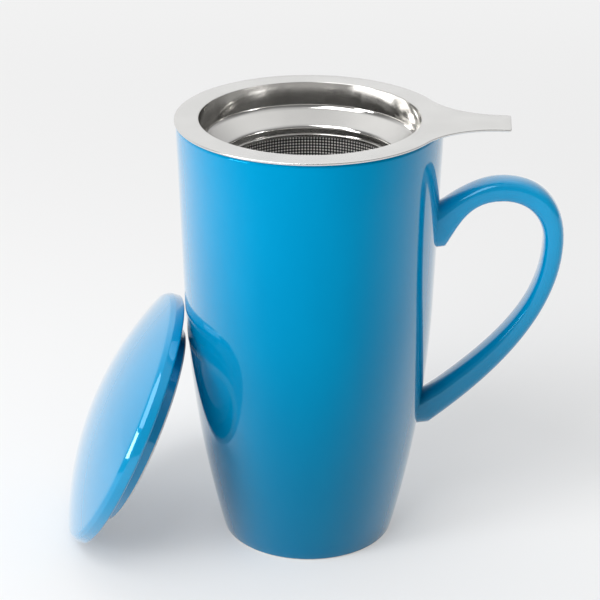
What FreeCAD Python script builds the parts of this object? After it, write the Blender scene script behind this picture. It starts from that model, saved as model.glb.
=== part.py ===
import FreeCAD, Part
import math
import os

# Tall ceramic tea mug with a stainless infuser on its rim, and its lid leaning
# against the wall. Millimetres, +Z up, the origin at the middle of the mug's foot
# on the table, the handle along +X.

# Mug body
mug_height = 143.0
rim_radius = 42.0
waist_height = 86.0
wall_taper = 1.65
foot_radius = 28.3
mug_wall = 4.0
mug_floor = 7.0
floor_corner_inset = 2.3
inner_floor_round = 9.0
rim_outer_round = 1.2
rim_inner_round = 1.0
foot_width = 3.4
foot_recess = 1.6
foot_round = 0.8

# Handle, a strap in the XZ plane: places out from the rim's radius, down from the crown
# for a drop and up from the table for the rest
strap_width = 10.0
strap_round = 2.4
crown_out = 19.4
crown_height = 124.0
crown_thickness = 7.4
back_out = 39.4
back_drop = 21.3
back_thickness = 5.5
upper_root_top_drop = 10.5
upper_root_bottom_drop = 30.8
upper_root_slope = 18.8
upper_root_inner_slope = 43.7
lower_root_top = 45.5
lower_root_bottom = 32.0
lower_root_slope = 36.5
lower_root_inner_slope = 37.7
crown_pull = 10.8
back_pull = 15.2
inner_crown_pull = 7.9
inner_back_pull = 3.8
upper_root_pull = 3.0
upper_root_inner_pull = 13.9
inner_root_crown_pull = 14.7
lower_run_pull = 30.5
lower_root_pull = 23.1
inner_run_pull = 19.8
inner_root_pull = 38.0
root_depth = 3.0
upper_root_foot_drop = 22.8
lower_root_foot = 37.6
root_foot_reach = 8.0
root_foot_round = 1.0

# Infuser plate with its grip tab
plate_overhang = 0.4
plate_thickness = 0.8
plate_edge_round = 0.3
tab_width = 14.0
tab_straight = 3.3
tab_sweep_radius = 25.0
tab_corner_round = 1.0
tab_turn = -4.2

# Infuser collar: cup, sloping ledge and neck, spun from one sheet
collar_sheet = 0.5
wall_clearance = 2.7
cup_depth = 8.6
cup_bend = 2.0
ledge_drop = 4.3
ledge_width = 7.0
neck_bend = 1.0
neck_length = 3.6
neck_bead = 0.45
mouth_round = 0.2

# Strainer under the collar
strainer_sheet = 0.3
strainer_depth = 66.0
neck_lap = 3.0
base_ring_sheet = 0.4
base_ring_height = 3.0
base_ring_lip = 2.6
base_ring_round = 0.3

# Lid, in its own frame: its seat plane is z = 0 and its dome is up
lid_overhang = 1.7
lid_band_height = 3.1
lid_band_draft = 0.5
lid_shoulder_inset = 1.0
lid_shoulder_height = 4.5
lid_height = 12.9
lid_thickness = 5.2
lid_edge_round = 0.7
lid_band_round = 1.0
ring_clearance = 0.75
ring_depth = 5.0
ring_wall = 4.4
ring_round = 0.9

# How the lid leans
lid_lean = 64.75
lid_azimuth = 184.0
lid_gap = 0.3
closing_steps = 12

UP = FreeCAD.Vector(0, 0, 1)
ORIGIN = FreeCAD.Vector(0, 0, 0)
FULL_TURN = 360

waist_radius = rim_radius - wall_taper
inner_floor_radius = foot_radius - floor_corner_inset
back_height = crown_height - back_drop
upper_root_top = crown_height - upper_root_top_drop
upper_root_bottom = crown_height - upper_root_bottom_drop
upper_root_foot = crown_height - upper_root_foot_drop
plate_radius = rim_radius + plate_overhang
plate_top = mug_height + plate_thickness
collar_outer_radius = rim_radius - mug_wall - wall_clearance
mouth_radius = collar_outer_radius - collar_sheet
neck_radius = mouth_radius - ledge_width
neck_outer_radius = neck_radius + collar_sheet
ledge_top = plate_top - cup_depth
neck_top = ledge_top - ledge_drop
neck_bottom = neck_top - neck_length
strainer_outer_radius = neck_outer_radius + strainer_sheet
strainer_bottom = plate_top - strainer_depth
floor_seat = strainer_bottom + base_ring_sheet
ring_radius = mouth_radius - ring_clearance
lid_edge_radius = plate_radius + lid_overhang
lid_band_radius = lid_edge_radius - lid_band_draft
lid_shoulder_radius = lid_band_radius - lid_shoulder_inset


def at(radius, height):
    """A point of a half section, in the XZ plane."""
    return FreeCAD.Vector(radius, 0, height)


def line(start, end):
    return Part.LineSegment(start, end).toShape()


def tangent_arc(start, heading, end):
    """The arc that leaves start along heading and ends at end."""
    chord = end - start
    across = FreeCAD.Vector(heading.z, 0, -heading.x)
    across.normalize()
    radius = chord.dot(chord) / (2 * chord.dot(across))
    centre = start + across * radius
    middle = (start - centre) + (end - centre)
    middle.normalize()
    return Part.Arc(start, centre + middle * abs(radius), end).toShape()


def arc_by_height(start, end, height):
    """The arc that rises height above its chord's line to end on the axis."""
    radius = (start.x ** 2 + height ** 2) / (2 * height)
    centre = FreeCAD.Vector(0, 0, end.z - radius)
    middle = (start - centre) + (end - centre)
    middle.normalize()
    return Part.Arc(start, centre + middle * radius, end).toShape()


def bezier(*poles):
    curve = Part.BezierCurve()
    curve.setPoles(list(poles))
    return curve.toShape()


def spun(edges):
    """The solid of revolution of a closed half section."""
    section = Part.Face(Part.Wire(edges))
    return section.revolve(ORIGIN, UP, FULL_TURN)


def spun_polygon(points):
    closed = points + points[:1]
    return spun([line(a, b) for a, b in zip(closed, closed[1:])])


def ring_edges(shape, radius, height):
    """The round edges of shape that run at this radius and height about the axis."""
    found = []
    for edge in shape.Edges:
        box = edge.BoundBox
        is_level = box.ZLength < 0.01 and abs(box.ZMin - height) < 0.01
        if is_level and abs(box.XMax - radius) < 0.05:
            found.append(edge)
    return found


def rounded(shape, radius, height, fillet):
    return shape.makeFillet(fillet, ring_edges(shape, radius, height))


def wall_heading():
    """The direction down the straight upper wall of the mug."""
    heading = at(waist_radius, waist_height) - at(rim_radius, mug_height)
    heading.normalize()
    return heading


def mug_blank():
    """The mug's outside with no cavity."""
    top = at(rim_radius, mug_height)
    waist = at(waist_radius, waist_height)
    foot = at(foot_radius, 0)
    return spun([
        line(ORIGIN, at(0, mug_height)),
        line(at(0, mug_height), top),
        line(top, waist),
        tangent_arc(waist, wall_heading(), foot),
        line(foot, ORIGIN),
    ])


def mug_cavity():
    top = at(rim_radius - mug_wall, mug_height)
    waist = at(waist_radius - mug_wall, waist_height)
    corner = at(inner_floor_radius, mug_floor)
    middle = at(0, mug_floor)
    cavity = spun([
        line(middle, at(0, mug_height)),
        line(at(0, mug_height), top),
        line(top, waist),
        tangent_arc(waist, wall_heading(), corner),
        line(corner, middle),
    ])
    return rounded(cavity, inner_floor_radius, mug_floor, inner_floor_round)


def mug_body():
    """Vessel with its foot ring and recessed base."""
    recess_radius = foot_radius - foot_width
    body = mug_blank().cut(mug_cavity())
    body = body.cut(Part.makeCylinder(recess_radius, foot_recess))
    body = rounded(body, rim_radius, mug_height, rim_outer_round)
    body = rounded(body, rim_radius - mug_wall, mug_height, rim_inner_round)
    body = rounded(body, foot_radius, 0, foot_round)
    return rounded(body, recess_radius, 0, foot_round)


def leaning(slope):
    """The unit direction that climbs away from the mug at this slope in degrees."""
    angle = math.radians(slope)
    return FreeCAD.Vector(math.cos(angle), 0, math.sin(angle))


def wall_radius(height):
    """The mug's outer radius at a height."""
    reach = line(at(0, height), at(rim_radius * 2, height))
    return reach.common(mug_blank()).BoundBox.XMax


def handle_outer():
    """The strap's outer line, from the upper root round to the lower one."""
    root = at(wall_radius(upper_root_top) - root_depth, upper_root_top)
    crown = at(rim_radius + crown_out, crown_height)
    back = at(rim_radius + back_out, back_height)
    end = at(wall_radius(lower_root_bottom) - root_depth, lower_root_bottom)
    return [
        bezier(root, root + leaning(upper_root_slope) * upper_root_pull,
               crown - at(crown_pull, 0), crown),
        bezier(crown, crown + at(crown_pull, 0), back + at(0, back_pull), back),
        bezier(back, back - at(0, lower_run_pull),
               end + leaning(lower_root_slope) * lower_root_pull, end),
    ]


def handle_inner():
    """The strap's inner line, round the finger gap."""
    root = at(wall_radius(upper_root_bottom) - root_depth, upper_root_bottom)
    crown = at(rim_radius + crown_out, crown_height - crown_thickness)
    back = at(rim_radius + back_out - back_thickness, back_height)
    end = at(wall_radius(lower_root_top) - root_depth, lower_root_top)
    return [
        bezier(root, root + leaning(upper_root_inner_slope) * upper_root_inner_pull,
               crown - at(inner_root_crown_pull, 0), crown),
        bezier(crown, crown + at(inner_crown_pull, 0), back + at(0, inner_back_pull), back),
        bezier(back, back - at(0, inner_run_pull),
               end + leaning(lower_root_inner_slope) * inner_root_pull, end),
    ]


def mug_handle():
    """Strap handle, its two ends shaped to the mug's wall."""
    outer = handle_outer()
    inner = handle_inner()
    upper_end = line(outer[0].firstVertex().Point, inner[0].firstVertex().Point)
    lower_end = line(outer[-1].lastVertex().Point, inner[-1].lastVertex().Point)
    side = Part.Face(Part.Wire(Part.__sortEdges__(outer + inner + [upper_end, lower_end])))
    side.translate(FreeCAD.Vector(0, -strap_width / 2, 0))
    strap = side.extrude(FreeCAD.Vector(0, strap_width, 0))
    long_edges = [edge for edge in strap.Edges if is_along_strap(edge)]
    strap = strap.makeFillet(strap_round, long_edges)
    strap = blunted(strap, upper_root_foot, upper_root_bottom)
    strap = blunted(strap, lower_root_foot, lower_root_bottom)
    return strap.cut(mug_blank())


def blunted(strap, foot, bottom):
    """The strap with a root's lower tip cut level at foot and its new edge rounded."""
    reach = wall_radius(foot) + root_foot_reach
    tip = Part.makeBox(reach, strap_width, foot - bottom + root_depth,
                       FreeCAD.Vector(0, -strap_width / 2, bottom - root_depth))
    cut = strap.cut(tip)
    sharp = [edge for edge in cut.Edges
             if edge.BoundBox.ZLength < 0.01 and abs(edge.BoundBox.ZMin - foot) < 0.01
             and edge.BoundBox.XMin > wall_radius(foot)]
    return cut.makeFillet(root_foot_round, sharp)


def is_along_strap(edge):
    """Is this a long edge of the strap, on one of its two flat sides?"""
    box = edge.BoundBox
    return box.YLength < 0.01 and edge.Curve.TypeId != "Part::GeomLine"


def infuser_rim_plate():
    """Flat plate on the mug's rim, in one with the tab that a finger lifts."""
    half = tab_width / 2
    sweep_across = half + tab_sweep_radius
    sweep_along = math.sqrt((plate_radius + tab_sweep_radius) ** 2 - sweep_across ** 2)
    tab_end = sweep_along + tab_straight
    share = plate_radius / (plate_radius + tab_sweep_radius)
    leave = FreeCAD.Vector(sweep_along * share, sweep_across * share, 0)
    centre = FreeCAD.Vector(sweep_along, sweep_across, 0)
    join = FreeCAD.Vector(sweep_along, half, 0)
    towards = (leave - centre) + (join - centre)
    towards.normalize()
    between = centre + towards * tab_sweep_radius
    corner = FreeCAD.Vector(tab_end, half, 0)

    def mirrored(point):
        return FreeCAD.Vector(point.x, -point.y, 0)

    outline = [
        Part.Arc(leave, FreeCAD.Vector(-plate_radius, 0, 0), mirrored(leave)).toShape(),
        Part.Arc(mirrored(leave), mirrored(between), mirrored(join)).toShape(),
        line(mirrored(join), mirrored(corner)),
        line(mirrored(corner), corner),
        line(corner, join),
        Part.Arc(join, between, leave).toShape(),
    ]
    plate = Part.Face(Part.Wire(outline)).extrude(UP * plate_thickness)
    corners = [edge for edge in plate.Edges
               if edge.BoundBox.ZLength > plate_thickness / 2
               and edge.BoundBox.XMin > tab_end - 0.01]
    plate = plate.makeFillet(tab_corner_round, corners)
    rims = [edge for edge in plate.Edges if edge.BoundBox.ZLength < 0.01]
    plate = plate.makeFillet(plate_edge_round, rims)
    plate = plate.cut(Part.makeCylinder(collar_outer_radius, plate_thickness))
    plate.rotate(ORIGIN, UP, tab_turn)
    plate.translate(UP * mug_height)
    return plate


def infuser_collar():
    """Spun cup with its sloping ledge and the short neck that carries the strainer."""
    slope = math.hypot(mouth_radius - neck_radius, ledge_drop)
    drop = collar_sheet * (slope - (mouth_radius - neck_radius)) / ledge_drop
    outer_shift = collar_sheet * (slope - ledge_drop) / (mouth_radius - neck_radius)
    cup_corner = at(mouth_radius, ledge_top)
    cup_outer = at(collar_outer_radius, ledge_top - outer_shift)
    neck_corner = at(neck_radius, neck_top)
    neck_outer = at(neck_outer_radius, neck_top - drop)
    collar = spun_polygon([
        at(mouth_radius, plate_top),
        at(collar_outer_radius, plate_top),
        cup_outer,
        neck_outer,
        at(neck_outer_radius, neck_bottom),
        at(neck_radius, neck_bottom),
        neck_corner,
        cup_corner,
    ])
    collar = rounded(collar, cup_corner.x, cup_corner.z, cup_bend)
    collar = rounded(collar, cup_outer.x, cup_outer.z, cup_bend + collar_sheet)
    collar = rounded(collar, neck_corner.x, neck_corner.z, neck_bend + collar_sheet)
    collar = rounded(collar, neck_outer.x, neck_outer.z, neck_bend)
    collar = rounded(collar, mouth_radius, plate_top, mouth_round)
    bead_place = at(0, neck_bottom + neck_bead)
    bead = Part.makeTorus(neck_outer_radius - neck_bead, neck_bead, bead_place, UP)
    return collar.fuse(bead).removeSplitter()


def infuser_mesh_wall():
    """Perforated sheet rolled into the strainer's wall, lapped round the neck."""
    top = neck_bottom + neck_lap
    return spun_polygon([
        at(neck_outer_radius, floor_seat),
        at(strainer_outer_radius, floor_seat),
        at(strainer_outer_radius, top),
        at(neck_outer_radius, top),
    ])


def infuser_mesh_floor():
    """Perforated disc that closes the strainer."""
    return Part.makeCylinder(neck_outer_radius, strainer_sheet, at(0, floor_seat), UP)


def infuser_base_ring():
    """Hemmed ring that holds the floor disc in the strainer's wall."""
    outside = strainer_outer_radius + base_ring_sheet
    lip = neck_outer_radius - base_ring_lip
    ring = spun_polygon([
        at(lip, strainer_bottom),
        at(outside, strainer_bottom),
        at(outside, strainer_bottom + base_ring_height),
        at(strainer_outer_radius, strainer_bottom + base_ring_height),
        at(strainer_outer_radius, floor_seat),
        at(lip, floor_seat),
    ])
    return rounded(ring, outside, strainer_bottom, base_ring_round)


def lid_upright():
    """The lid with its seat plane at z = 0, its dome up and its ring down."""
    apex = at(0, lid_height)
    shoulder = at(lid_shoulder_radius, lid_shoulder_height)
    band = at(lid_band_radius, lid_band_height)
    edge = at(lid_edge_radius, 0)
    ring_foot = -ring_depth
    hollow_radius = ring_radius - ring_wall
    hollow_top = lid_height - lid_thickness
    rise = lid_height - lid_shoulder_height
    dome_radius = (lid_shoulder_radius ** 2 + rise ** 2) / (2 * rise)
    inside_radius = dome_radius - lid_thickness
    hollow_drop = inside_radius - math.sqrt(inside_radius ** 2 - hollow_radius ** 2)
    ceiling = at(hollow_radius, hollow_top - hollow_drop)
    lid = spun([
        arc_by_height(shoulder, apex, rise),
        line(shoulder, band),
        line(band, edge),
        line(edge, at(ring_radius, 0)),
        line(at(ring_radius, 0), at(ring_radius, ring_foot)),
        line(at(ring_radius, ring_foot), at(hollow_radius, ring_foot)),
        line(at(hollow_radius, ring_foot), ceiling),
        arc_by_height(ceiling, at(0, hollow_top), hollow_drop),
        line(at(0, hollow_top), apex),
    ])
    lid = rounded(lid, lid_edge_radius, 0, lid_edge_round)
    lid = rounded(lid, lid_band_radius, lid_band_height, lid_band_round)
    lid = rounded(lid, ring_radius, ring_foot, ring_round)
    lid = rounded(lid, hollow_radius, ring_foot, ring_round)
    return rounded(lid, hollow_radius, ceiling.z, ring_round)


def lid():
    """The lid as it leans, its edge on the table and its underside to the mug."""
    piece = lid_upright()
    piece.rotate(ORIGIN, FreeCAD.Vector(0, 1, 0), lid_lean)
    lowest = piece.optimalBoundingBox(False, False).ZMin
    away = rim_radius + lid_edge_radius
    piece.translate(FreeCAD.Vector(away, 0, -lowest))
    blank = mug_blank()
    for _ in range(closing_steps):
        spare = piece.distToShape(blank)[0] - lid_gap
        piece.translate(FreeCAD.Vector(-spare, 0, 0))
    piece.rotate(ORIGIN, UP, lid_azimuth)
    return piece


pieces = {
    "mug_body": mug_body,
    "mug_handle": mug_handle,
    "infuser_rim_plate": infuser_rim_plate,
    "infuser_collar": infuser_collar,
    "infuser_mesh_wall": infuser_mesh_wall,
    "infuser_mesh_floor": infuser_mesh_floor,
    "infuser_base_ring": infuser_base_ring,
    "lid": lid,
}

os.makedirs("parts", exist_ok=True)
for name, make in pieces.items():
    shape = make()
    shape.exportStep(f"parts/{name}.step")
    box = shape.BoundBox
    print(name, "valid" if shape.isValid() else "BAD", len(shape.Solids), "solid",
          round(shape.Volume, 1), "mm3",
          [round(v, 2) for v in (box.XMin, box.YMin, box.ZMin, box.XMax, box.YMax, box.ZMax)])
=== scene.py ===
import math

import bmesh
import bpy
from mathutils import Matrix, Vector


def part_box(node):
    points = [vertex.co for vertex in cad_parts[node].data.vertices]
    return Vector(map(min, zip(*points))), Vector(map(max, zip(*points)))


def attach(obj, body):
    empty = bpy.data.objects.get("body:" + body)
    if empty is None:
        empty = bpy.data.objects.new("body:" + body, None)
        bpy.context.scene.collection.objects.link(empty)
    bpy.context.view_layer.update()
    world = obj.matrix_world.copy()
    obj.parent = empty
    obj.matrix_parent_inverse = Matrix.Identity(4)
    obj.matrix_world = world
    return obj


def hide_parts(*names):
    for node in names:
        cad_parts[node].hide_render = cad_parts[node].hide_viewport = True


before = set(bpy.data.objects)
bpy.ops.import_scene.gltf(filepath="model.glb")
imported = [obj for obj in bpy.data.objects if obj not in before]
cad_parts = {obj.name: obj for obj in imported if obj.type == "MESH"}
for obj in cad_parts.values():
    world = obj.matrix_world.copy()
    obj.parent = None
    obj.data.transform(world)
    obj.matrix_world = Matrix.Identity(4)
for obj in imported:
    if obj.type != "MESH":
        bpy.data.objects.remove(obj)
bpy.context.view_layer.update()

MM = 0.001
TURN_STEPS = 160
EDGE_STEPS = 5
FINE_EDGE_STEPS = 3
SHARP_ANGLE = math.radians(32)

# Sizes read from the frame
mug_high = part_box("mug_body")[1]
plate_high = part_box("infuser_rim_plate")[1]
mug_height = mug_high.z
rim_radius = mug_high.y
plate_top = plate_high.z
plate_radius = plate_high.y
strainer_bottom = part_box("infuser_base_ring")[0].z

# Mug body
waist_height = 86.0 * MM
waist_radius = 40.35 * MM
foot_radius = 28.3 * MM
mug_wall = 4.0 * MM
mug_floor = 7.0 * MM
inner_floor_radius = foot_radius - 2.3 * MM
inner_floor_round = 4.05 * MM
rim_outer_round = 1.2 * MM
rim_inner_round = 1.0 * MM
foot_width = 3.4 * MM
foot_recess = 1.6 * MM
foot_round = 0.8 * MM
foot_bare_height = 0.5 * MM
taper_steps = 4
wall_steps = 26
inner_floor_steps = 6

# Handle: heights of its two lines at their roots, slopes there, and pulls of the
# curves in order from the upper root to the crown, the back and the lower root
upper_root_outer, upper_root_inner = 113.5 * MM, 93.2 * MM
lower_root_outer, lower_root_inner = 32.0 * MM, 45.5 * MM
upper_slope_outer, upper_slope_inner = math.radians(18.8), math.radians(43.7)
lower_slope_outer, lower_slope_inner = math.radians(36.5), math.radians(37.7)
outer_pulls = [pull * MM for pull in (3.0, 10.8, 10.8, 15.2, 30.5, 23.1)]
inner_pulls = [pull * MM for pull in (13.9, 14.7, 8.4, 7.6, 19.8, 38.0)]
strap_width = 10.2 * MM
strap_power = 3.0
crown = Vector((rim_radius + 19.4 * MM, 0, 124.0 * MM))
crown_thickness = 7.4 * MM
back = Vector((rim_radius + 39.4 * MM, 0, 102.7 * MM))
back_thickness = 6.6 * MM
root_flare = 0.34
flare_reach = 9.0 * MM
root_depth = 3.0 * MM
upper_foot = 101.2 * MM
lower_foot = 37.6 * MM
strap_sides = 28
strap_steps = 16

# Infuser
collar_sheet = 0.5 * MM
mouth_radius = rim_radius - mug_wall - 2.7 * MM - collar_sheet
neck_radius = mouth_radius - 7.0 * MM
neck_outer = neck_radius + collar_sheet
ledge_top = plate_top - 8.6 * MM
neck_top = ledge_top - 4.3 * MM
neck_bottom = neck_top - 3.6 * MM
neck_bead = 0.58 * MM
bead_foot_round = 0.95 * neck_bead
bead_head_round = 0.38 * neck_bead
cup_lip_round = 0.2 * MM
cup_bend = 2.0 * MM
neck_bend = 1.0 * MM
tab_width = 14.0 * MM
tab_straight = 3.3 * MM
tab_sweep = 25.0 * MM
tab_corner = 1.0 * MM
tab_turn = math.radians(-4.2)
plate_edge = 0.3 * MM
plate_steps = 150
sweep_steps = 20
corner_steps = 6
bend_steps = 8

# Strainer
strainer_sheet = 0.3 * MM
ring_sheet = 0.4 * MM
ring_height = 3.0 * MM
ring_lip = 2.6 * MM
ring_foot_round = 0.35 * MM
ring_head_round = 0.15 * MM
ring_lip_round = 0.12 * MM
floor_seat = strainer_bottom + ring_sheet
hole_pitch = 1.0 * MM
hole_radius = 0.26 * MM
wall_columns = 180
wall_lap = 3.0 * MM
wall_margin = 3.0 * MM
floor_margin = 0.9 * hole_pitch
floor_cuts = 96

# Lid, upright about its own axis with its seat plane at z = 0
lid_edge_radius = plate_radius + 1.7 * MM
lid_band_radius = lid_edge_radius - 0.5 * MM
lid_band_height = 3.1 * MM
lid_shoulder_radius = lid_band_radius - 1.0 * MM
lid_shoulder_height = 4.5 * MM
lid_height = 12.9 * MM
lid_thickness = 5.2 * MM
lid_ring_radius = mouth_radius - 0.75 * MM
lid_ring_depth = 5.0 * MM
lid_ring_wall = 4.4 * MM
lid_edge_round = 0.7 * MM
lid_band_round = 1.0 * MM
lid_shoulder_round = 1.5 * MM
lid_seat_round = 0.8 * MM
lid_ring_round = 0.9 * MM
lid_hollow_round = 1.5 * MM
lid_bare_height = 0.75 * MM
dome_steps = 24
under_steps = 12
lid_lean = math.radians(64.75)
lid_azimuth = math.radians(184.0)


# Node material helpers

def new_material(name):
    """An empty node material with its Principled shader."""
    material = bpy.data.materials.new(name)
    material.use_nodes = True
    tree = material.node_tree
    return material, tree, tree.nodes["Principled BSDF"]


def node(tree, kind, inputs=None, **settings):
    """One node, its settings as attributes and its inputs as values or sockets."""
    made = tree.nodes.new(kind)
    for key, value in settings.items():
        setattr(made, key, value)
    for key, value in (inputs or {}).items():
        if isinstance(value, bpy.types.NodeSocket):
            tree.links.new(value, made.inputs[key])
        else:
            made.inputs[key].default_value = value
    return made


def math_node(tree, operation, a, b=0.0, c=0.0):
    """The socket of one math node."""
    return node(tree, "ShaderNodeMath", {0: a, 1: b, 2: c}, operation=operation).outputs[0]


def place(tree, scale=(1, 1, 1)):
    """The piece's own coordinates in metres, stretched by scale."""
    at = node(tree, "ShaderNodeTexCoord").outputs["Object"]
    return node(tree, "ShaderNodeMapping", {"Vector": at, "Scale": scale}).outputs[0]


def noise(tree, vector, scale, detail=3.0, rough=0.5):
    """Cloudy values from 0 to 1, so many to the metre."""
    return node(tree, "ShaderNodeTexNoise", {
        "Vector": vector, "Scale": scale, "Detail": detail, "Roughness": rough}).outputs["Fac"]


def blend_between(tree, share, first, second):
    """The colour that goes from first to second as share goes from 0 to 1."""
    return node(tree, "ShaderNodeMix", {0: share, 6: first, 7: second},
                data_type="RGBA").outputs[2]


def span(tree, value, low, high, to_low=0.0, to_high=1.0):
    """Goes smoothly from to_low to to_high as value goes from low to high."""
    return node(tree, "ShaderNodeMapRange", {
        0: value, 1: low, 2: high, 3: to_low, 4: to_high},
        interpolation_type="SMOOTHSTEP").outputs[0]


def add_bump(tree, shader, height, strength, distance):
    """Raises the shaded surface by height times distance in metres."""
    bump = node(tree, "ShaderNodeBump", {
        "Height": height, "Strength": strength, "Distance": distance})
    tree.links.new(bump.outputs[0], shader.inputs["Normal"])


# Finishes

glaze_deep = (0.000, 0.238, 0.470, 1)
glaze_thin = (0.000, 0.252, 0.490, 1)
glaze_shine = (0.0, 0.55, 0.95, 1)
clay_dark = (0.66, 0.63, 0.58, 1)
clay_pale = (0.82, 0.80, 0.76, 1)
satin_colour = (0.79, 0.785, 0.77)
polished_colour = (0.74, 0.73, 0.71)
# Strainer steel darkened as painted shade
strainer_painted_dark = (0.085, 0.084, 0.086)
# Near-white painted glint for the ring at each hole's edge
painted_glint_colour = (0.93, 0.92, 0.90, 1)


def azure_glaze(name, foot_painted_shading, rim_painted_shading, low_clear, clear, slanted):
    """Azure glaze: cloudy in depth, clear and glossy on top.
    Its colour is painted shading by height: scaled by its foot shading factor near
    the table and by its rim shading factor at the rim. The clear layer is clear
    strong face on and full from slanted on, and low_clear of that near the table."""
    material, tree, shader = new_material(name)
    clouds = noise(tree, place(tree, (1, 1, 0.45)), 46.0, 4.0, 0.55)
    depth = span(tree, clouds, 0.32, 0.70)
    colour = blend_between(tree, depth, glaze_deep, glaze_thin)
    level = node(tree, "ShaderNodeSeparateXYZ", {0: place(tree)}).outputs[2]
    # Painted shading: the glaze colour is scaled by height, from the foot factor near the table to
    # the rim factor at the rim
    painted_shading_by_height = span(tree, level, 0.010, 0.130, foot_painted_shading, rim_painted_shading)
    shaded = node(tree, "ShaderNodeVectorMath", {0: colour, "Scale": painted_shading_by_height}, operation="SCALE")
    tree.links.new(shaded.outputs[0], shader.inputs["Base Color"])
    gloss = span(tree, noise(tree, place(tree), 120.0, 2.0), 0.3, 0.7, 0.05, 0.08)
    tree.links.new(gloss, shader.inputs["Roughness"])
    shader.inputs["IOR"].default_value = 1.6
    shader.inputs["Specular Tint"].default_value = glaze_shine
    slant = node(tree, "ShaderNodeLayerWeight", {"Blend": 0.5}).outputs["Facing"]
    thick = span(tree, level, 0.0, 0.08, low_clear, 1.0)
    coat = math_node(tree, "MULTIPLY", span(tree, slant, 0.14, slanted, clear, 1.0), thick)
    tree.links.new(coat, shader.inputs["Coat Weight"])
    shader.inputs["Coat Roughness"].default_value = 0.03
    shader.inputs["Coat IOR"].default_value = 1.85
    return material


def bare_clay():
    """White fired clay where a piece stands in the kiln, wiped clean of glaze."""
    material, tree, shader = new_material("bare_clay")
    grain = noise(tree, place(tree), 2200.0, 4.0, 0.7)
    tree.links.new(blend_between(tree, grain, clay_dark, clay_pale), shader.inputs["Base Color"])
    shader.inputs["Roughness"].default_value = 0.82
    add_bump(tree, shader, grain, 0.35, 0.00012)
    return material


def steel(name, colour, rough_low, rough_high, stretch, bump):
    """Stainless steel with the fine lines that its working leaves."""
    material, tree, shader = new_material(name)
    lines = noise(tree, place(tree, stretch), 900.0, 3.0, 0.6)
    cloud = noise(tree, place(tree), 55.0, 2.0)
    shade = span(tree, cloud, 0.3, 0.7)
    darker = tuple(0.93 * part for part in colour) + (1,)
    tree.links.new(blend_between(tree, shade, darker, colour + (1,)),
                   shader.inputs["Base Color"])
    tree.links.new(span(tree, lines, 0.3, 0.7, rough_low, rough_high),
                   shader.inputs["Roughness"])
    shader.inputs["Metallic"].default_value = 1.0
    if bump:
        add_bump(tree, shader, lines, bump, 0.00005)
    return material, tree, shader


def ring_about_holes(tree, across, along):
    """1 on the painted glint ring at each hole's edge, 0 on the sheet between the holes."""
    du = math_node(tree, "SUBTRACT", math_node(tree, "FRACT", across), 0.5)
    dv = math_node(tree, "SUBTRACT", math_node(tree, "FRACT", along), 0.5)
    square = math_node(tree, "ADD", math_node(tree, "MULTIPLY", du, du),
                       math_node(tree, "MULTIPLY", dv, dv))
    distance = math_node(tree, "SQRT", square)
    hole = hole_radius / hole_pitch
    return span(tree, distance, hole + 0.11, hole + 0.04)


def strainer_steel(name, rolled):
    """Bright-rolled sheet darkened as painted shade, with a painted glint at every hole's edge."""
    material, tree, shader = steel(name, strainer_painted_dark, 0.28, 0.38, (1, 1, 1), 0.1)
    at = node(tree, "ShaderNodeSeparateXYZ", {0: place(tree)}).outputs
    if rolled:
        turn = math_node(tree, "ARCTAN2", at[1], at[0])
        across = math_node(tree, "MULTIPLY", turn, wall_columns / (2 * math.pi))
        rise = math_node(tree, "SUBTRACT", at[2], floor_seat)
        along = math_node(tree, "DIVIDE", rise, hole_pitch)
    else:
        across = math_node(tree, "DIVIDE", at[0], hole_pitch)
        along = math_node(tree, "DIVIDE", at[1], hole_pitch)
    # Painted glint: a bright, rougher ring at each hole's edge
    painted_glint = ring_about_holes(tree, across, along)
    plain = shader.inputs["Base Color"].links[0].from_socket
    tree.links.new(blend_between(tree, painted_glint, plain, painted_glint_colour), shader.inputs["Base Color"])
    rough = shader.inputs["Roughness"].links[0].from_socket
    tree.links.new(math_node(tree, "ADD", rough, math_node(tree, "MULTIPLY", painted_glint, 0.4)),
                   shader.inputs["Roughness"])
    return material


# Painted shading by height: body and handle are painted darker near the table and lighter at the
# top, the lid lighter all over
body_glaze = azure_glaze("azure_glaze_body", foot_painted_shading=0.68, rim_painted_shading=1.12,
                         low_clear=0.55, clear=0.0, slanted=0.74)
handle_glaze = azure_glaze("azure_glaze_handle", foot_painted_shading=0.60, rim_painted_shading=1.45,
                           low_clear=1.0, clear=0.35, slanted=0.74)
lid_glaze = azure_glaze("azure_glaze_lid", foot_painted_shading=1.12, rim_painted_shading=1.18,
                        low_clear=1.0, clear=0.50, slanted=0.45)
clay = bare_clay()
satin_steel = steel("satin_steel", satin_colour, 0.24, 0.25, (1, 1, 1), 0.0)[0]
polished_steel = steel("polished_steel", polished_colour, 0.09, 0.15, (1, 1, 0.1), 0.03)[0]
wall_steel = strainer_steel("rolled_strainer_steel", True)
floor_steel = strainer_steel("flat_strainer_steel", False)


# Mesh helpers

def finish_mesh(name, bm, materials, body, replaced):
    """Turns bm into a named piece that rides on a body and stands for a node."""
    mesh = bpy.data.meshes.new(name)
    bm.to_mesh(mesh)
    bm.free()
    for material in materials:
        mesh.materials.append(material)
    mesh.shade_smooth()
    mesh.set_sharp_from_angle(angle=SHARP_ANGLE)
    piece = bpy.data.objects.new(name, mesh)
    bpy.context.scene.collection.objects.link(piece)
    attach(piece, body)
    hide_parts(replaced)


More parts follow.
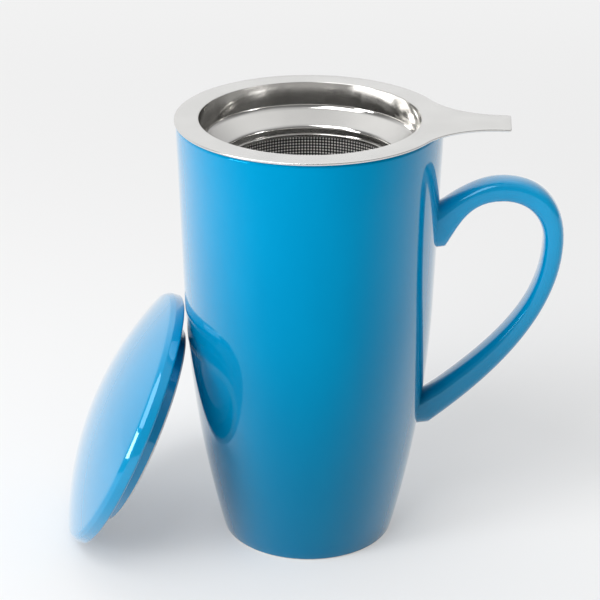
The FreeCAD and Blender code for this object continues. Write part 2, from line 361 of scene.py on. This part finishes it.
def spun(section):
    """A closed half section of (radius, height) points turned about Z."""
    bm = bmesh.new()
    verts = [bm.verts.new((radius, 0, height)) for radius, height in section]
    edges = [bm.edges.new((a, b)) for a, b in zip(verts, verts[1:] + verts[:1])
             if not (a.co.x < 1e-7 and b.co.x < 1e-7)]
    bmesh.ops.spin(bm, geom=verts + edges, cent=(0, 0, 0), axis=(0, 0, 1),
                   angle=2 * math.pi, steps=TURN_STEPS, use_merge=True)
    bmesh.ops.remove_doubles(bm, verts=bm.verts, dist=1e-7)
    bmesh.ops.recalc_face_normals(bm, faces=bm.faces)
    return bm


def round_ring(bm, radius, height, fillet, segments=EDGE_STEPS):
    """Rounds the round edge at this radius and height to a fillet radius."""
    def on_ring(vert):
        off = math.hypot(vert.co.x, vert.co.y) - radius
        return abs(off) < 2e-5 and abs(vert.co.z - height) < 2e-5
    edges = [edge for edge in bm.edges if all(on_ring(vert) for vert in edge.verts)]
    turn = edges[0].calc_face_angle()
    bmesh.ops.bevel(bm, geom=edges, offset=fillet * math.tan(turn / 2), offset_type="OFFSET",
                    segments=segments, profile=0.5, affect="EDGES", material=-1)


def arc_points(start, heading, end, steps):
    """Points of the arc that leaves start along heading and ends at end, both included."""
    chord = end - start
    across = Vector((heading.y, -heading.x)).normalized()
    radius = chord.dot(chord) / (2 * chord.dot(across))
    centre = start + across * radius
    first = math.atan2(start.y - centre.y, start.x - centre.x)
    last = math.atan2(end.y - centre.y, end.x - centre.x)
    sweep = (last - first + math.pi) % (2 * math.pi) - math.pi
    return [centre + abs(radius) * Vector((math.cos(first + sweep * i / steps),
                                           math.sin(first + sweep * i / steps)))
            for i in range(steps + 1)]


def dome_points(start, end, steps):
    """Points of the arc from start to end, which lies on the axis and is its top."""
    rise = end[1] - start[1]
    radius = (start[0] ** 2 + rise ** 2) / (2 * rise)
    swing = math.asin(start[0] / radius)
    return [(radius * math.sin(swing * (1 - i / steps)),
             end[1] - radius + radius * math.cos(swing * (1 - i / steps)))
            for i in range(steps + 1)]


# Mug body

def wall_line(top_radius, side_radius, end_radius, end_height):
    """The wall from the rim down its straight taper and round to its foot."""
    top = Vector((top_radius, mug_height))
    waist = Vector((side_radius, waist_height))
    end = Vector((end_radius, end_height))
    straight = [top.lerp(waist, i / taper_steps) for i in range(taper_steps)]
    return straight + arc_points(waist, waist - top, end, wall_steps)


def mug_vessel():
    """Vessel with its rounded rim, foot ring and recessed base."""
    outside = wall_line(rim_radius, waist_radius, foot_radius, 0)
    inside = wall_line(rim_radius - mug_wall, waist_radius - mug_wall,
                       inner_floor_radius, mug_floor)
    recess = foot_radius - foot_width
    section = [(p.x, p.y) for p in outside]
    section += [(recess, 0), (recess, foot_recess), (0, foot_recess), (0, mug_floor)]
    section += [(p.x, p.y) for p in reversed(inside)]
    bm = spun(section)
    round_ring(bm, inner_floor_radius, mug_floor, inner_floor_round, inner_floor_steps)
    round_ring(bm, rim_radius, mug_height, rim_outer_round)
    round_ring(bm, rim_radius - mug_wall, mug_height, rim_inner_round)
    round_ring(bm, foot_radius, 0, foot_round)
    round_ring(bm, recess, 0, foot_round)
    for face in bm.faces:
        if face.calc_center_median().z < foot_bare_height:
            face.material_index = 1
    finish_mesh("mug_vessel", bm, [body_glaze, clay], "mug", "mug_body")


# Handle

def wall_radius(height):
    """The mug's outer radius at a height on its lower curve or straight taper."""
    line = wall_line(rim_radius, waist_radius, foot_radius, 0)
    for upper, lower in zip(line, line[1:]):
        if lower.y <= height <= upper.y:
            return lower.lerp(upper, (height - lower.y) / (upper.y - lower.y)).x
    return rim_radius


def uphill(slope):
    """The direction that climbs away from the mug at this slope."""
    return Vector((math.cos(slope), 0, math.sin(slope)))


def in_wall(height):
    """A point inside the mug's wall at this height."""
    return Vector((wall_radius(height) - root_depth, 0, height))


def curve(start, leave, arrive, end, t):
    """A point of the cubic curve with these four poles."""
    s = 1 - t
    return start * s ** 3 + leave * 3 * s * s * t + arrive * 3 * s * t * t + end * t ** 3


def strap_line(upper, upper_slope, over, behind, lower, lower_slope, pulls):
    """Poles of one line's three curves: root to crown, crown to back, back to root."""
    outward = Vector((1, 0, 0))
    upward = Vector((0, 0, 1))
    return [
        (upper, upper + uphill(upper_slope) * pulls[0], over - outward * pulls[1], over),
        (over, over + outward * pulls[2], behind + upward * pulls[3], behind),
        (behind, behind - upward * pulls[4], lower + uphill(lower_slope) * pulls[5], lower),
    ]


def strap_ring(bm, outer, inner, from_root):
    """One rounded section of the strap between its two lines, flared near its root."""
    near = max(0.0, 1 - from_root / flare_reach)
    flare = 1 + root_flare * near ** 2
    middle = (outer + inner) / 2
    out = (outer - inner) / 2 * flare
    ring = bmesh.ops.create_circle(bm, segments=strap_sides, radius=1.0)["verts"]
    for vert in ring:
        turn = math.atan2(vert.co.y, vert.co.x)
        along = math.copysign(abs(math.cos(turn)) ** (2 / strap_power), math.cos(turn))
        aside = math.copysign(abs(math.sin(turn)) ** (2 / strap_power), math.sin(turn))
        vert.co = middle + out * along + Vector((0, strap_width / 2 * flare * aside, 0))
    return list({edge for vert in ring for edge in vert.link_edges})


def mug_handle_strap():
    """Strap handle, blunt at its two feet on the wall, one smooth skin."""
    outer_curves = strap_line(in_wall(upper_root_outer), upper_slope_outer, crown, back,
                              in_wall(lower_root_outer), lower_slope_outer, outer_pulls)
    inner_curves = strap_line(in_wall(upper_root_inner), upper_slope_inner,
                              crown - Vector((0, 0, crown_thickness)),
                              back - Vector((back_thickness, 0, 0)),
                              in_wall(lower_root_inner), lower_slope_inner, inner_pulls)
    roots = [(outer_curves[0][0] + inner_curves[0][0]) / 2,
             (outer_curves[2][3] + inner_curves[2][3]) / 2]
    bm = bmesh.new()
    rings = []
    for part, (outer, inner) in enumerate(zip(outer_curves, inner_curves)):
        steps = strap_steps * 2 if part == 2 else strap_steps
        first = 0 if part == 0 else 1
        for i in range(first, steps + 1):
            a = curve(*outer, i / steps)
            b = curve(*inner, i / steps)
            if part == 0:
                b.z = max(b.z, upper_foot)
            if part == 2:
                a.z = max(a.z, lower_foot)
            from_root = min(((a + b) / 2 - root).length for root in roots)
            rings.append(strap_ring(bm, a, b, from_root))
    for one, other in zip(rings, rings[1:]):
        bmesh.ops.bridge_loops(bm, edges=one + other)
    bmesh.ops.holes_fill(bm, edges=bm.edges, sides=0)
    bmesh.ops.recalc_face_normals(bm, faces=bm.faces)
    finish_mesh("mug_handle_strap", bm, [handle_glaze], "mug", "mug_handle")


# Infuser

def infuser_plate():
    """Flat plate with its lifting tab, its outer edges broken."""
    half = tab_width / 2
    across = half + tab_sweep
    along = math.sqrt((plate_radius + tab_sweep) ** 2 - across ** 2)
    leave = math.atan2(across, along)
    end = along + tab_straight
    hole = mouth_radius + collar_sheet
    outline = [Vector((plate_radius * math.cos(a), plate_radius * math.sin(a)))
               for a in (leave + (2 * math.pi - 2 * leave) * i / plate_steps
                         for i in range(plate_steps + 1))]
    sweep = [Vector((along + tab_sweep * math.cos(a), -across + tab_sweep * math.sin(a)))
             for a in (math.pi - leave - (math.pi / 2 - leave) * i / sweep_steps
                       for i in range(1, sweep_steps + 1))]
    corner = [Vector((end - tab_corner + tab_corner * math.cos(a),
                      -half + tab_corner + tab_corner * math.sin(a)))
              for a in (-math.pi / 2 + math.pi / 2 * i / corner_steps
                        for i in range(corner_steps + 1))]
    side = sweep + corner
    outline += side + [Vector((p.x, -p.y)) for p in reversed(side)]
    bm = bmesh.new()
    rim = [bm.verts.new((p.x, p.y, mug_height)) for p in outline]
    for pair in zip(rim, rim[1:] + rim[:1]):
        bm.edges.new(pair)
    hole_ring = bmesh.ops.create_circle(bm, segments=TURN_STEPS, radius=hole)["verts"]
    bmesh.ops.translate(bm, vec=(0, 0, mug_height), verts=hole_ring)
    bmesh.ops.triangle_fill(bm, edges=bm.edges[:], use_beauty=True)
    raised = bmesh.ops.extrude_face_region(bm, geom=bm.faces[:])["geom"]
    lifted = [v for v in raised if isinstance(v, bmesh.types.BMVert)]
    bmesh.ops.translate(bm, vec=(0, 0, plate_top - mug_height), verts=lifted)
    bmesh.ops.recalc_face_normals(bm, faces=bm.faces)
    rims = [edge for edge in bm.edges
            if abs(edge.verts[0].co.z - edge.verts[1].co.z) < 1e-7
            and edge.calc_face_angle(0) > SHARP_ANGLE
            and edge.verts[0].co.xy.length > hole + 1 * MM]
    bmesh.ops.bevel(bm, geom=rims, offset=plate_edge, offset_type="OFFSET",
                    segments=FINE_EDGE_STEPS, profile=0.5, affect="EDGES", material=-1)
    bmesh.ops.rotate(bm, cent=(0, 0, 0), matrix=Matrix.Rotation(tab_turn, 3, "Z"), verts=bm.verts)
    finish_mesh("infuser_plate", bm, [satin_steel], "infuser", "infuser_rim_plate")


def infuser_cup():
    """Spun cup, sloping ledge and neck, with a rolled bead at the neck's end."""
    slope = math.hypot(mouth_radius - neck_radius, ledge_top - neck_top)
    neck_drop = collar_sheet * (slope - (mouth_radius - neck_radius)) / (ledge_top - neck_top)
    cup_drop = collar_sheet * (slope - (ledge_top - neck_top)) / (mouth_radius - neck_radius)
    bead_inner = neck_outer - 2 * neck_bead
    bead_top = neck_bottom + 2 * neck_bead
    bm = spun([
        (mouth_radius, plate_top),
        (mouth_radius + collar_sheet, plate_top),
        (mouth_radius + collar_sheet, ledge_top - cup_drop),
        (neck_outer, neck_top - neck_drop),
        (neck_outer, neck_bottom),
        (bead_inner, neck_bottom),
        (bead_inner, bead_top),
        (neck_radius, bead_top),
        (neck_radius, neck_top),
        (mouth_radius, ledge_top),
    ])
    round_ring(bm, mouth_radius, ledge_top, cup_bend, bend_steps)
    round_ring(bm, mouth_radius + collar_sheet, ledge_top - cup_drop, cup_bend + collar_sheet,
               bend_steps)
    round_ring(bm, neck_radius, neck_top, neck_bend + collar_sheet, bend_steps)
    round_ring(bm, neck_outer, neck_top - neck_drop, neck_bend, bend_steps)
    round_ring(bm, mouth_radius, plate_top, cup_lip_round)
    round_ring(bm, bead_inner, neck_bottom, bead_foot_round)
    round_ring(bm, bead_inner, bead_top, bead_head_round)
    finish_mesh("infuser_cup", bm, [polished_steel], "infuser", "infuser_collar")


def perforated_sheet(columns, rows, is_open):
    """A flat sheet of columns by rows cells one unit wide, with an eight-sided hole
    in each cell that is_open(column, row) names."""
    bm = bmesh.new()
    bmesh.ops.create_grid(bm, x_segments=2 * columns, y_segments=2 * rows, size=0.5)
    bmesh.ops.scale(bm, vec=(columns, rows, 1), verts=bm.verts)
    bmesh.ops.translate(bm, vec=(columns / 2, rows / 2, 0), verts=bm.verts)
    centres = []
    for vert in bm.verts:
        x, y = vert.co.x - 0.5, vert.co.y - 0.5
        in_middle = abs(x - round(x)) < 0.1 and abs(y - round(y)) < 0.1
        if in_middle and is_open(round(x), round(y)):
            centres.append(vert)
    made = bmesh.ops.bevel(bm, geom=centres, offset=hole_radius / hole_pitch, offset_type="OFFSET",
                           segments=2, profile=0.5, affect="VERTICES", material=-1)
    holes = [face for face in made["faces"] if len(face.verts) == 8]
    bmesh.ops.delete(bm, geom=holes, context="FACES")
    return bm


def strainer_wall(name, first, columns):
    """A run of columns of the rolled perforated wall."""
    height = neck_bottom + wall_lap - floor_seat
    rows = round(height / hole_pitch)
    row_height = height / rows
    top_row = int((neck_bottom - wall_margin - floor_seat) / row_height)
    lowest_row = int((ring_height - ring_sheet) / row_height) + 1
    bm = perforated_sheet(columns, rows, lambda c, r: lowest_row <= r < top_row)
    outside = neck_outer + strainer_sheet
    for vert in bm.verts:
        turn = 2 * math.pi * (vert.co.x + first) / wall_columns
        level = floor_seat + vert.co.y * row_height
        vert.co = (outside * math.cos(turn), outside * math.sin(turn), level)
    bmesh.ops.recalc_face_normals(bm, faces=bm.faces)
    if bm.faces[0].normal.dot(bm.faces[0].calc_center_median()) < 0:
        bmesh.ops.reverse_faces(bm, faces=bm.faces)
    bmesh.ops.solidify(bm, geom=bm.faces[:], thickness=strainer_sheet)
    finish_mesh(name, bm, [wall_steel], "infuser", "infuser_mesh_wall")


def strainer_floor():
    """Perforated disc in the foot of the wall."""
    cells = 2 * math.ceil(neck_outer / hole_pitch)
    open_radius = (neck_outer - ring_lip - floor_margin) / hole_pitch
    bm = perforated_sheet(cells, cells, lambda c, r: math.hypot(
        c + 0.5 - cells / 2, r + 0.5 - cells / 2) < open_radius)
    bmesh.ops.translate(bm, vec=(-cells / 2, -cells / 2, 0), verts=bm.verts)
    bmesh.ops.scale(bm, vec=(hole_pitch, hole_pitch, 1), verts=bm.verts)
    for i in range(floor_cuts):
        turn = 2 * math.pi * i / floor_cuts
        out = Vector((math.cos(turn), math.sin(turn), 0))
        bmesh.ops.bisect_plane(bm, geom=bm.verts[:] + bm.edges[:] + bm.faces[:],
                               plane_co=out * neck_outer, plane_no=out, clear_outer=True)
    bmesh.ops.translate(bm, vec=(0, 0, floor_seat + strainer_sheet), verts=bm.verts)
    bmesh.ops.recalc_face_normals(bm, faces=bm.faces)
    if bm.faces[0].normal.z < 0:
        bmesh.ops.reverse_faces(bm, faces=bm.faces)
    bmesh.ops.solidify(bm, geom=bm.faces[:], thickness=strainer_sheet)
    finish_mesh("strainer_floor", bm, [floor_steel], "infuser", "infuser_mesh_floor")


def strainer_base_ring():
    """Hemmed ring that clinches the floor disc to the wall."""
    inside = neck_outer + strainer_sheet
    outside = inside + ring_sheet
    lip = neck_outer - ring_lip
    bm = spun([
        (lip, strainer_bottom),
        (outside, strainer_bottom),
        (outside, strainer_bottom + ring_height),
        (inside, strainer_bottom + ring_height),
        (inside, floor_seat),
        (lip, floor_seat),
    ])
    round_ring(bm, outside, strainer_bottom, ring_foot_round)
    round_ring(bm, outside, strainer_bottom + ring_height, ring_head_round, FINE_EDGE_STEPS)
    round_ring(bm, lip, strainer_bottom, ring_lip_round, FINE_EDGE_STEPS)
    finish_mesh("strainer_base_ring", bm, [polished_steel], "infuser", "infuser_base_ring")


# Lid

def lid_cap():
    """Domed lid with its rounded band and locating ring, turned to where it leans."""
    hollow = lid_ring_radius - lid_ring_wall
    hollow_top = lid_height - lid_thickness
    rise = lid_height - lid_shoulder_height
    inner_dome = (lid_shoulder_radius ** 2 + rise ** 2) / (2 * rise) - lid_thickness
    ceiling = hollow_top - inner_dome + math.sqrt(inner_dome ** 2 - hollow ** 2)
    dome = dome_points((lid_shoulder_radius, lid_shoulder_height), (0, lid_height), dome_steps)
    under = dome_points((hollow, ceiling), (0, hollow_top), under_steps)
    section = dome + list(reversed(under)) + [
        (hollow, -lid_ring_depth),
        (lid_ring_radius, -lid_ring_depth),
        (lid_ring_radius, 0),
        (lid_edge_radius, 0),
        (lid_band_radius, lid_band_height),
    ]
    bm = spun(section)
    round_ring(bm, lid_edge_radius, 0, lid_edge_round)
    round_ring(bm, lid_band_radius, lid_band_height, lid_band_round)
    round_ring(bm, lid_shoulder_radius, lid_shoulder_height, lid_shoulder_round)
    round_ring(bm, lid_ring_radius, 0, lid_seat_round)
    round_ring(bm, lid_ring_radius, -lid_ring_depth, lid_ring_round)
    round_ring(bm, hollow, -lid_ring_depth, lid_ring_round)
    round_ring(bm, hollow, ceiling, lid_hollow_round)
    for face in bm.faces:
        if face.calc_center_median().z < -lid_ring_depth + lid_bare_height:
            face.material_index = 1
    lean = Matrix.Rotation(lid_azimuth, 3, "Z") @ Matrix.Rotation(lid_lean, 3, "Y")
    bmesh.ops.rotate(bm, cent=(0, 0, 0), matrix=lean, verts=bm.verts)
    low = Vector([min(v.co[i] for v in bm.verts) for i in range(3)])
    high = Vector([max(v.co[i] for v in bm.verts) for i in range(3)])
    cad_low, cad_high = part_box("lid")
    bmesh.ops.translate(bm, vec=(cad_low + cad_high - low - high) / 2, verts=bm.verts)
    finish_mesh("lid_cap", bm, [lid_glaze, clay], "lid", "lid")


mug_vessel()
mug_handle_strap()
infuser_plate()
infuser_cup()
for quarter, side in enumerate(("back_right", "back_left", "front_left", "front_right")):
    strainer_wall("strainer_wall_" + side, quarter * wall_columns // 4, wall_columns // 4)
strainer_floor()
strainer_base_ring()
lid_cap()


# Studio

# The photograph's viewpoint, fitted to the rim, the foot, the tab and the lid
photo_lens = 118.74
photo_place = (0, -586.04 * MM, 345.38 * MM)
photo_turn = math.radians(0.281)
photo_tilt = math.radians(90 - 24.281)
photo_roll = math.radians(0.215)


def studio_floor():
    """Wide pale sweep that the mug stands on."""
    bm = bmesh.new()
    bmesh.ops.create_grid(bm, x_segments=1, y_segments=1, size=4.0)
    mesh = bpy.data.meshes.new("studio_floor")
    bm.to_mesh(mesh)
    bm.free()
    material, tree, shader = new_material("studio_white")
    shader.inputs["Base Color"].default_value = (0.86, 0.86, 0.86, 1)
    shader.inputs["Roughness"].default_value = 0.8
    shader.inputs["Specular IOR Level"].default_value = 0.1
    ray = node(tree, "ShaderNodeLightPath").outputs
    seen = math_node(tree, "MAXIMUM", ray["Is Camera Ray"], ray["Is Glossy Ray"])
    seen = math_node(tree, "MAXIMUM", seen, ray["Is Transmission Ray"])
    paper = node(tree, "ShaderNodeEmission", {"Color": (0.92, 0.92, 0.92, 1), "Strength": 1.0})
    away = node(tree, "ShaderNodeVectorMath", {0: place(tree)},
                operation="LENGTH").outputs["Value"]
    share = math_node(tree, "MULTIPLY", seen, span(tree, away, 0.15, 0.9, 0.32, 0.95))
    mixed = node(tree, "ShaderNodeMixShader", {
        0: share, 1: shader.outputs[0], 2: paper.outputs[0]})
    tree.links.new(mixed.outputs[0], tree.nodes["Material Output"].inputs["Surface"])
    mesh.materials.append(material)
    floor = bpy.data.objects.new("studio_floor", mesh)
    floor.location.z = -0.05 * MM
    bpy.context.scene.collection.objects.link(floor)


def soft_light(name, place_at, aim, width, height, power):
    """A white softbox that hangs at place_at and faces aim."""
    light = bpy.data.lights.new(name, "AREA")
    light.shape = "RECTANGLE"
    light.size = width
    light.size_y = height
    light.energy = power
    lamp = bpy.data.objects.new(name, light)
    lamp.location = place_at
    lamp.rotation_euler = (Vector(aim) - Vector(place_at)).to_track_quat("-Z", "Y").to_euler()
    bpy.context.scene.collection.objects.link(lamp)


def studio_world():
    """Pale room: bright behind, above and high on the right, darker on the viewer's side."""
    world = bpy.data.worlds.new("studio_room")
    world.use_nodes = True
    bpy.context.scene.world = world
    tree = world.node_tree
    background = tree.nodes["Background"]
    heading = node(tree, "ShaderNodeSeparateXYZ",
                   {0: node(tree, "ShaderNodeTexCoord").outputs["Generated"]}).outputs
    behind = span(tree, heading[1], -0.2, 0.7)
    right = span(tree, heading[0], 0.1, 0.6, 1.0, 0.45)
    above = span(tree, heading[2], 0.5, 1.0)
    level = math_node(tree, "MULTIPLY_ADD", math_node(tree, "MULTIPLY", behind, right), 0.70, 0.20)
    level = math_node(tree, "MULTIPLY_ADD", above, 0.45, level)
    high_right = math_node(tree, "MULTIPLY", span(tree, heading[0], 0.15, 0.85),
                           span(tree, heading[2], 0.3, 0.8))
    level = math_node(tree, "MULTIPLY_ADD", high_right, 0.4, level)
    tree.links.new(level, background.inputs["Strength"])
    background.inputs["Color"].default_value = (1, 1, 1, 1)


def photo_camera():
    """Camera at the photograph's viewpoint."""
    data = bpy.data.cameras.new("photo_view")
    data.sensor_width = 36.0
    data.lens = photo_lens
    camera = bpy.data.objects.new("photo_view", data)
    turn = Matrix.Rotation(photo_turn, 4, "Z")
    tilt = Matrix.Rotation(photo_tilt, 4, "X")
    roll = Matrix.Rotation(photo_roll, 4, "Z")
    camera.matrix_world = Matrix.Translation(photo_place) @ turn @ tilt @ roll
    bpy.context.scene.collection.objects.link(camera)
    bpy.context.scene.camera = camera


studio_floor()
soft_light("left_softbox", (-0.92, -0.52, 0.38), (-0.03, 0, 0.05), 0.34, 0.34, 4.6)
soft_light("high_softbox", (-0.52, -0.62, 0.98), (0, 0, 0.03), 0.85, 0.85, 8.6)
studio_world()
photo_camera()
bpy.context.scene.view_settings.view_transform = "Standard"
